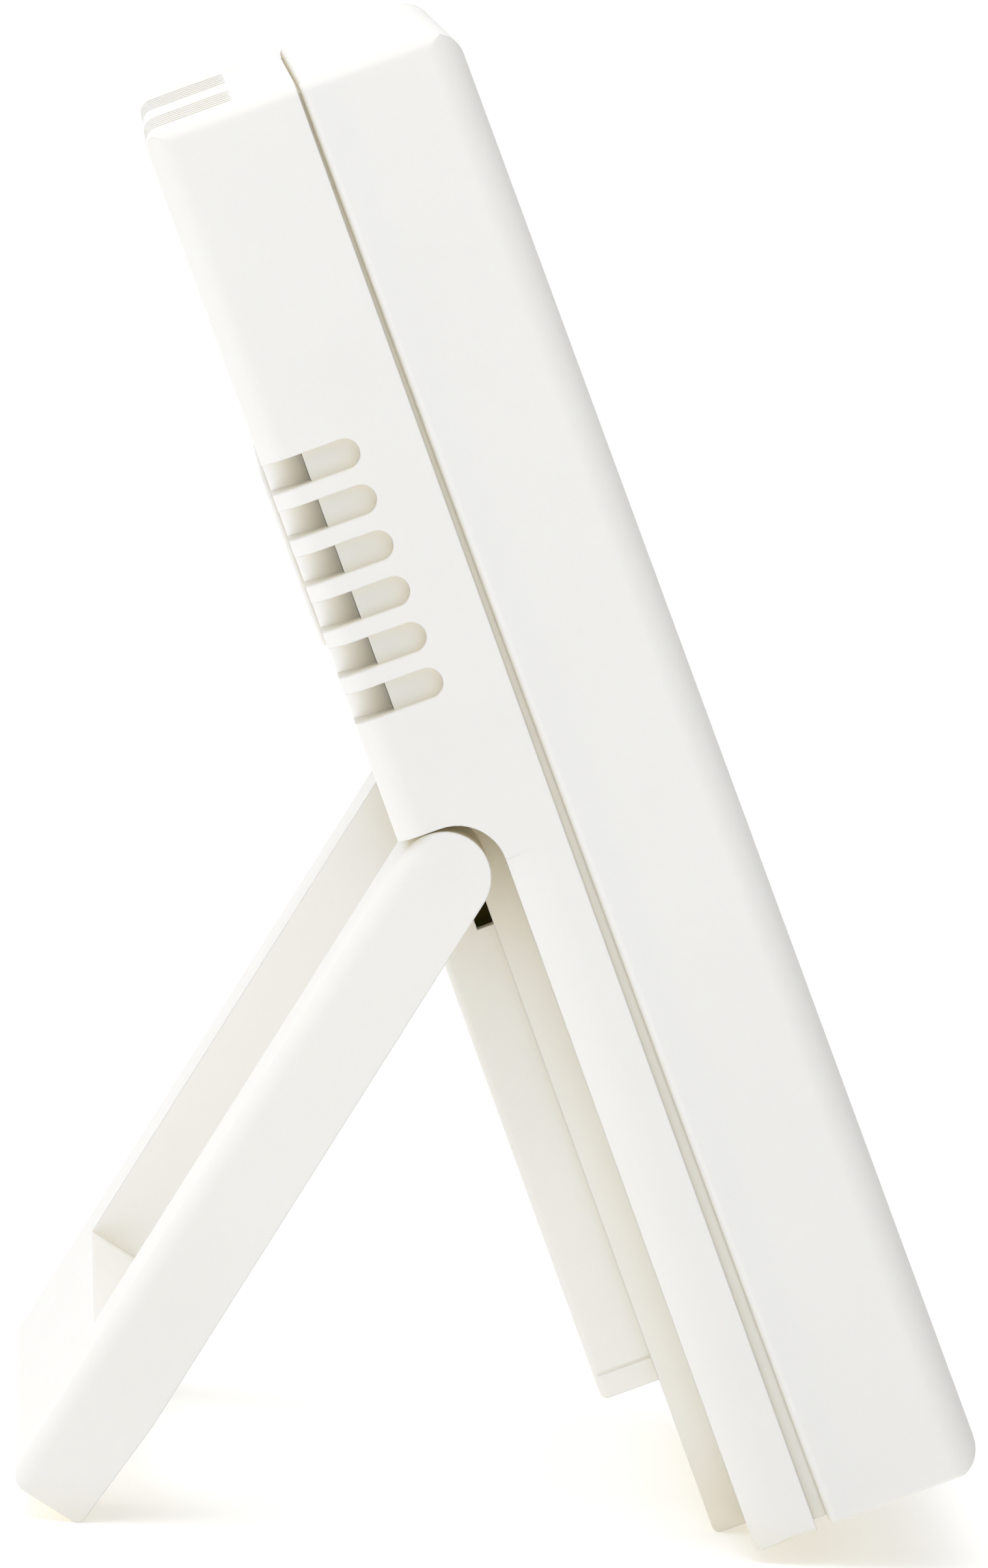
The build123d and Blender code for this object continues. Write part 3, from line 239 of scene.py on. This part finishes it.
def metal(name, color, rough=0.3, stretch=900.0):
    """Plated or drawn metal with fine streaks and slightly dulled patches."""
    shader = Shader(name)
    rounded = shader.rounded_normal(0.08 * MM)
    mask = shader.edge_mask(rounded)
    streaks = shader.noise(stretch, detail=5.0, roughness=0.7)
    tone = shader.mix(streaks, rgba(color, 0.82), rgba(color, 1.05))
    shader.plug(
        Base_Color=shader.mix(shader.maths("MULTIPLY", mask, 0.5), tone, rgba(color, 1.15)),
        Roughness=shader.spread(shader.noise(250.0), rough - 0.08, rough + 0.12),
        Normal=shader.bump(streaks, 0.12, 0.01 * MM, rounded),
    )
    shader.plug(Metallic=1.0)
    return shader.material


def circuit_board(name, color):
    """Solder mask over copper: darker bands where there are no tracks, and a fine glass weave."""
    shader = Shader(name)
    tracks = shader.node(
        "ShaderNodeTexBrick",
        {"Vector": shader.place, "Scale": 160.0, "Mortar Size": 0.03, "Color1": rgba(color),
         "Color2": rgba(color, 1.25), "Mortar": rgba(color, 1.7)},
    )
    mottled = shader.mix(shader.noise(80.0), tracks.outputs["Color"], rgba(color, 0.8))
    weave = shader.noise(3000.0)
    shader.plug(
        Base_Color=mottled,
        Roughness=shader.spread(shader.noise(200.0), 0.25, 0.4),
        Normal=shader.bump(weave, 0.15, 0.01 * MM),
    )
    return shader.material


SLEEVE_BAND_START = 0.012   # x at which the colour changes


def cell_sleeve(name, color, band):
    """A printed battery sleeve: two plain bands of colour with no lettering."""
    shader = Shader(name)
    split = shader.node("ShaderNodeSeparateXYZ", {"Vector": shader.place})
    side = shader.maths("GREATER_THAN", split.outputs["X"], SLEEVE_BAND_START)
    scuffs = shader.noise(400.0, detail=6.0)
    printed = shader.mix(side, rgba(color), rgba(band))
    shader.plug(
        Base_Color=shader.mix(shader.spread(scuffs, 0.0, 0.25), printed, rgba(color, 1.6)),
        Roughness=shader.spread(scuffs, 0.22, 0.4),
        Normal=shader.bump(shader.noise(700.0), 0.05, 0.01 * MM),
    )
    shader.plug(Metallic=0.35)
    return shader.material


MATERIALS = {
    "white_case": moulded_plastic("white_case", WHITE),
    "white_stand": moulded_plastic("white_stand", WHITE),
    "white_door": moulded_plastic("white_door", WHITE),
    "key_plastic": moulded_plastic("key_plastic", WHITE, rough=0.36, grain=3400.0),
    "clear_window": clear_plastic("clear_window", (0.97, 0.985, 0.98)),
    "lcd_glass": clear_plastic("lcd_glass", (0.93, 0.97, 0.94)),
    "polariser": lcd_film("polariser", (0.56, 0.60, 0.53)),
    "light_guide": clear_plastic("light_guide", (0.95, 0.97, 0.97), rough=0.1),
    "led": ink("led", (0.85, 0.83, 0.62)),
    "inner_frame": moulded_plastic("inner_frame", (0.84, 0.84, 0.82), rough=0.5),
    "connector_rubber": ink("connector_rubber", (0.05, 0.05, 0.055), rough=0.75),
    "circuit_board": circuit_board("circuit_board", (0.02, 0.11, 0.04)),
    "screw_steel": metal("screw_steel", (0.55, 0.55, 0.56)),
    "chip_resin": ink("chip_resin", (0.015, 0.015, 0.016), rough=0.25),
    "component_metal": metal("component_metal", (0.72, 0.72, 0.73), rough=0.25),
    "black_plastic": ink("black_plastic", (0.02, 0.02, 0.022), rough=0.45),
    "copper_winding": metal("copper_winding", (0.72, 0.33, 0.16), stretch=2500.0),
    "sensor_cap": ink("sensor_cap", (0.8, 0.8, 0.78), rough=0.55),
    "sensor_bead": ink("sensor_bead", (0.02, 0.02, 0.02), rough=0.2),
    "cell_sleeve": cell_sleeve("cell_sleeve", (0.05, 0.07, 0.10), (0.45, 0.30, 0.10)),
    "contact_steel": metal("contact_steel", (0.74, 0.73, 0.71), rough=0.22),
}


def dress_nodes():
    """Gives each CAD node the material of its slot."""
    for part in frame["record"]["subparts"]:
        node = frame["nodes"][part["node"]]
        node.data.materials.clear()
        node.data.materials.append(MATERIALS[part["material_slot"]])


# ---- mesh helpers ----------------------------------------------------------------------------
def piece(name, mesh, slot, body="housing"):
    made = bpy.data.objects.new(name, mesh)
    bpy.context.scene.collection.objects.link(made)
    mesh.materials.append(MATERIALS[slot])
    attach(made, body)
    return made


def prisms(name, outlines, front_y, back_y, matrix):
    """One mesh of flat prisms: each outline is an (x, z) loop, given a thickness along y."""
    builder = bmesh.new()
    for outline in outlines:
        rings = []
        for y in (front_y, back_y):
            rings.append([builder.verts.new(matrix @ Vector((x, y, z))) for x, z in outline])
        builder.faces.new(rings[0])
        builder.faces.new(list(reversed(rings[1])))
        count = len(outline)
        for n in range(count):
            after = (n + 1) % count
            builder.faces.new((rings[0][after], rings[0][n], rings[1][n], rings[1][after]))
    bmesh.ops.recalc_face_normals(builder, faces=builder.faces[:])
    mesh = bpy.data.meshes.new(name)
    builder.to_mesh(mesh)
    builder.free()
    return mesh


def disc(x, z, radius, count=28):
    turns = [2 * math.pi * n / count for n in range(count)]
    return [(x + radius * math.cos(t), z + radius * math.sin(t)) for t in turns]


def ring_pieces(x, z, radius, width, count=28, start=0.0, end=2 * math.pi):
    """A ring, or part of one, as short four-sided outlines."""
    step = (end - start) / count
    outlines = []
    for n in range(count):
        corners = ((radius, n), (radius, n + 1), (radius - width, n + 1), (radius - width, n))
        outlines.append([
            (x + r * math.cos(start + m * step), z + r * math.sin(start + m * step)) for r, m in corners
        ])
    return outlines


def bar(start, end, width):
    """A straight stroke with pointed ends, like an LCD segment."""
    a, b = Vector(start), Vector(end)
    along = (b - a).normalized() * width / 2
    side = Vector((-along.y, along.x))
    points = [a, a + along + side, b - along + side, b, b - along - side, a + along - side]
    return [(p.x, p.y) for p in points]


def box_outline(x0, z0, x1, z1):
    return [(x0, z0), (x1, z0), (x1, z1), (x0, z1)]


SEGMENTS = {
    "0": "abcdef", "1": "bc", "2": "abged", "3": "abgcd", "4": "fgbc", "5": "afgcd", "6": "afgedc",
    "7": "abc", "8": "abcdefg", "9": "abcdfg", "C": "afed", "-": "g",
}
# Shares of a digit's height.
SLANT = 0.10
SEGMENT_GAP = 0.05
DIGIT_WIDTH = 0.5
DIGIT_STEP = 0.72
STROKE = 0.12
COLON_STEP = 0.22
COLON_HEIGHTS = (0.3, 0.7)
COLON_RADIUS = 0.06


def digit(character, x, z, height):
    """A seven-segment character whose lower left corner is at x, z."""
    width, stroke = height * DIGIT_WIDTH, height * STROKE
    half = height / 2
    left, right, low, middle, high = 0, width, 0, half, height
    ends = {
        "a": ((left, high), (right, high)), "b": ((right, high), (right, middle)),
        "c": ((right, middle), (right, low)), "d": ((right, low), (left, low)),
        "e": ((left, low), (left, middle)), "f": ((left, middle), (left, high)),
        "g": ((left, middle), (right, middle)),
    }
    gap = height * SEGMENT_GAP
    outlines = []
    for letter in SEGMENTS[character]:
        a, b = (Vector(end) for end in ends[letter])
        along = (b - a).normalized() * gap
        outline = bar(a + along, b - along, stroke)
        outlines.append([(x + px + SLANT * pz, z + pz) for px, pz in outline])
    return outlines


def number(text, x, z, height):
    """Digits in a row, with a square point or a colon between them."""
    outlines = []
    step = height * DIGIT_STEP
    for character in text:
        if character == ".":
            dot = height * STROKE
            outlines.append(box_outline(x - dot, z - dot / 2, x, z + dot / 2))
            x += dot
            continue
        if character == ":":
            for share in COLON_HEIGHTS:
                outlines.append(disc(x, z + height * share, height * COLON_RADIUS))
            x += height * COLON_STEP
            continue
        outlines += digit(character, x, z, height)
        x += step
    return outlines


def degree_sign(x, z, size):
    return ring_pieces(x, z, size / 2, size / 6)


def percent_sign(x, z, size):
    dots = ring_pieces(x, z + size * 0.8, size * 0.2, size * 0.09)
    dots += ring_pieces(x + size * 0.7, z + size * 0.2, size * 0.2, size * 0.09)
    return dots + [bar((x + size * 0.05, z), (x + size * 0.65, z + size), size * 0.1)]


def sun_and_cloud(x, z, size):
    """A generic half-sun behind a cloud."""
    outlines = ring_pieces(x + size * 0.2, z + size * 0.25, size * 0.32, size * 0.07)
    for n in range(7):
        turn = math.radians(-20 + n * 32)
        inner, outer = size * 0.4, size * 0.55
        start = (x + size * 0.2 + inner * math.cos(turn), z + size * 0.25 + inner * math.sin(turn))
        end = (x + size * 0.2 + outer * math.cos(turn), z + size * 0.25 + outer * math.sin(turn))
        outlines.append(bar(start, end, size * 0.07))
    for dx, dz, radius in ((-0.45, -0.2, 0.2), (-0.15, -0.05, 0.28), (0.2, -0.18, 0.22)):
        outlines.append(disc(x + size * dx, z + size * dz, size * radius))
    outlines.append(box_outline(x - size * 0.45, z - size * 0.4, x + size * 0.2, z - size * 0.2))
    return outlines


# ---- display ---------------------------------------------------------------------------------
FACE_Y_MM = -FRONT_DEPTH_MM
LENS_BACK_MM = FACE_Y_MM + WINDOW_THICKNESS_MM
LCD_FRONT_MM = FACE_Y_MM + FRONT_WALL_MM + LCD_GAP_MM
SEGMENT_THICKNESS_MM = 0.03
SEGMENT_BACK_MM = 0.002     # the segments stop this far in front of the glass
BORDER_MM = 3.5
BORDER_BACK_MM = 0.02       # the border starts this far behind the window
BORDER_THICKNESS_MM = 0.08
MARGIN_MM = 3.0             # between the border and what the display shows
RULE_HEIGHTS_MM = (96.2, 67.2, 44.2)
RULE_THICKNESS_MM = 0.4
BAR_COUNT = 5
BAR_PITCH_MM = 3.0
BAR_WIDTH_MM = 2.0
BAR_FIRST_MM = 3.0          # height of the shortest bar
BAR_RISE_MM = 2.2           # and how much taller each next one is


def level_bars(x, z):
    """A row of bars that rise to the right."""
    outlines = []
    for n in range(BAR_COUNT):
        start = x + BAR_PITCH_MM * n
        outlines.append(box_outline(start, z, start + BAR_WIDTH_MM, z + BAR_FIRST_MM + BAR_RISE_MM * n))
    return outlines


def display_outlines():
    """Everything that the display shows: outdoor and indoor values, the sky and the time."""
    right = SIGHT_HALF_MM - BORDER_MM - MARGIN_MM
    left = -right
    shapes = [box_outline(left, low, right, low + RULE_THICKNESS_MM) for low in RULE_HEIGHTS_MM]
    shapes += sun_and_cloud(left + 10, 108.0, 15.0)
    shapes += number("21.4", -5.5, 101.5, 11.5)
    shapes += degree_sign(right - 4.5, 113.5, 2.6) + digit("C", right - 2.5, 108.5, 5.0)
    shapes += number("23.8", left + 3, 72.0, 18.0)
    shapes += degree_sign(right - 10.5, 89.0, 3.0) + digit("C", right - 8.0, 83.0, 6.5)
    shapes += number("46", left + 8, 49.0, 14.0)
    shapes += percent_sign(left + 31, 50.0, 8.0)
    shapes += level_bars(right - 13.0, 50.0)
    shapes += number("10:25", left + 10, 32.0, 8.5)
    return shapes


def make_display():
    front, back = LCD_FRONT_MM - SEGMENT_THICKNESS_MM, LCD_FRONT_MM - SEGMENT_BACK_MM
    segments = prisms("lcd_segments", display_outlines(), front, back, FRONT)
    piece("lcd_segments", segments, "black_plastic")
    inner_x = SIGHT_HALF_MM - BORDER_MM
    low, high = SIGHT_LOW_MM + BORDER_MM, SIGHT_HIGH_MM - BORDER_MM
    edge = SIGHT_HALF_MM
    border = [
        box_outline(-edge, SIGHT_LOW_MM, edge, low),
        box_outline(-edge, high, edge, SIGHT_HIGH_MM),
        box_outline(-edge, low, -inner_x, high),
        box_outline(inner_x, low, edge, high),
    ]
    start = LENS_BACK_MM + BORDER_BACK_MM
    mask = prisms("window_border", border, start, start + BORDER_THICKNESS_MM, FRONT)
    piece("window_border", mask, "inner_frame")


# ---- studio ----------------------------------------------------------------------------------
CAMERA_PLACE = (-1.0802, 0.0465, 0.15688)
CAMERA_YAW = -2.349
CAMERA_PITCH = -5.085
CAMERA_ROLL = 3.795
CAMERA_LENS = 284.3
CAMERA_SENSOR = 36.0

FLOOR_RADIUS = 12.0
FLOOR_SIDES = 96
FLOOR_GLOW = 0.25           # the floor is a lit white table, so that shadows on it stay faint

SKY_LEVEL = 0.25
SKY_SLOPE = (0.0, 0.40, 0.50)   # brighter above and behind the case, dimmer in front of its display
SKY_LOWEST = 0.12
BACKDROP_GLOW = 0.9         # the white backdrop behind the object, which the camera looks towards
BACKDROP_FOCUS = 4.0

OVERHEAD_FROM = (0.05, 0.05, 1.0)
OVERHEAD_STRENGTH = 0.75
OVERHEAD_SPREAD = 60.0      # degrees of sky, which keeps its shadows soft

KEY_PLACE = (-0.26, 0.05, 0.38)
KEY_TARGET = (0.0, 0.0, 0.10)
KEY_SIZE = 0.25
KEY_POWER = 0.33

BOUNCES = 12                # enough for light to reach the bottom of the slots and the groove


def make_camera():
    yaw, pitch, roll = (math.radians(angle) for angle in (CAMERA_YAW, CAMERA_PITCH, CAMERA_ROLL))
    ahead = Vector((math.cos(pitch) * math.cos(yaw), math.cos(pitch) * math.sin(yaw), math.sin(pitch)))
    level_right = ahead.cross(Vector((0, 0, 1))).normalized()
    level_up = level_right.cross(ahead)
    right = level_right * math.cos(roll) + level_up * math.sin(roll)
    up = level_up * math.cos(roll) - level_right * math.sin(roll)
    data = bpy.data.cameras.new("camera")
    data.lens = CAMERA_LENS
    data.sensor_width = CAMERA_SENSOR
    camera = bpy.data.objects.new("camera", data)
    turn = Matrix((right, up, -ahead)).transposed().to_4x4()
    camera.matrix_world = Matrix.Translation(CAMERA_PLACE) @ turn
    bpy.context.scene.collection.objects.link(camera)
    bpy.context.scene.camera = camera


def make_floor():
    """A wide white table that runs out of sight on every side."""
    mesh = bpy.data.meshes.new("studio_floor")
    builder = bmesh.new()
    rim = disc(0, 0, FLOOR_RADIUS, count=FLOOR_SIDES)
    builder.faces.new([builder.verts.new((x, y, 0)) for x, y in rim])
    builder.to_mesh(mesh)
    builder.free()
    floor = bpy.data.objects.new("studio_floor", mesh)
    bpy.context.scene.collection.objects.link(floor)
    shader = Shader("studio_floor")
    shader.plug(
        Base_Color=shader.mix(shader.noise(3.0), (0.90, 0.90, 0.90, 1), (0.92, 0.92, 0.92, 1)),
        Roughness=0.9,
    )
    shader.plug(Emission_Color=(1, 1, 1, 1), Emission_Strength=FLOOR_GLOW)
    mesh.materials.append(shader.material)


def aim(thing, place, target):
    thing.location = place
    thing.rotation_euler = (Vector(target) - Vector(place)).to_track_quat("-Z", "Y").to_euler()
    bpy.context.scene.collection.objects.link(thing)


def area_light(name, place, target, size, power):
    data = bpy.data.lights.new(name, "AREA")
    data.size = size
    data.energy = power
    aim(bpy.data.objects.new(name, data), place, target)


def broad_sun(name, place, strength, spread):
    """Light from a wide patch of sky, the same everywhere on the floor."""
    data = bpy.data.lights.new(name, "SUN")
    data.energy = strength
    data.angle = math.radians(spread)
    aim(bpy.data.objects.new(name, data), place, (0, 0, 0))


def make_sky():
    world = bpy.data.worlds.new("studio")
    bpy.context.scene.world = world
    world.use_nodes = True
    tree = world.node_tree
    direction = tree.nodes.new("ShaderNodeTexCoord").outputs["Generated"]

    def maths(operation, first, second):
        made = tree.nodes.new("ShaderNodeMath")
        made.operation = operation
        for socket, value in zip(made.inputs, (first, second)):
            if isinstance(value, bpy.types.NodeSocket):
                tree.links.new(value, socket)
            else:
                socket.default_value = value
        return made.outputs[0]

    slope = tree.nodes.new("ShaderNodeVectorMath")
    slope.operation = "DOT_PRODUCT"
    tree.links.new(direction, slope.inputs[0])
    slope.inputs[1].default_value = SKY_SLOPE
    split = tree.nodes.new("ShaderNodeSeparateXYZ")
    tree.links.new(direction, split.inputs[0])
    sky = maths("MAXIMUM", maths("ADD", slope.outputs["Value"], SKY_LEVEL), SKY_LOWEST)
    ahead = maths("POWER", maths("MAXIMUM", split.outputs["X"], 0.0), BACKDROP_FOCUS)
    strength = maths("ADD", sky, maths("MULTIPLY", ahead, BACKDROP_GLOW))
    tree.links.new(strength, tree.nodes["Background"].inputs["Strength"])
    tree.nodes["Background"].inputs["Color"].default_value = (1, 1, 1, 1)


def make_lights():
    broad_sun("overhead", OVERHEAD_FROM, OVERHEAD_STRENGTH, OVERHEAD_SPREAD)
    area_light("key", KEY_PLACE, KEY_TARGET, KEY_SIZE, KEY_POWER)
    make_sky()
    scene = bpy.context.scene
    scene.cycles.max_bounces = BOUNCES
    scene.cycles.diffuse_bounces = BOUNCES
    scene.view_settings.view_transform = "Standard"
    scene.view_settings.exposure = 0.0


dress_nodes()
make_display()
make_camera()
make_floor()
make_lights()
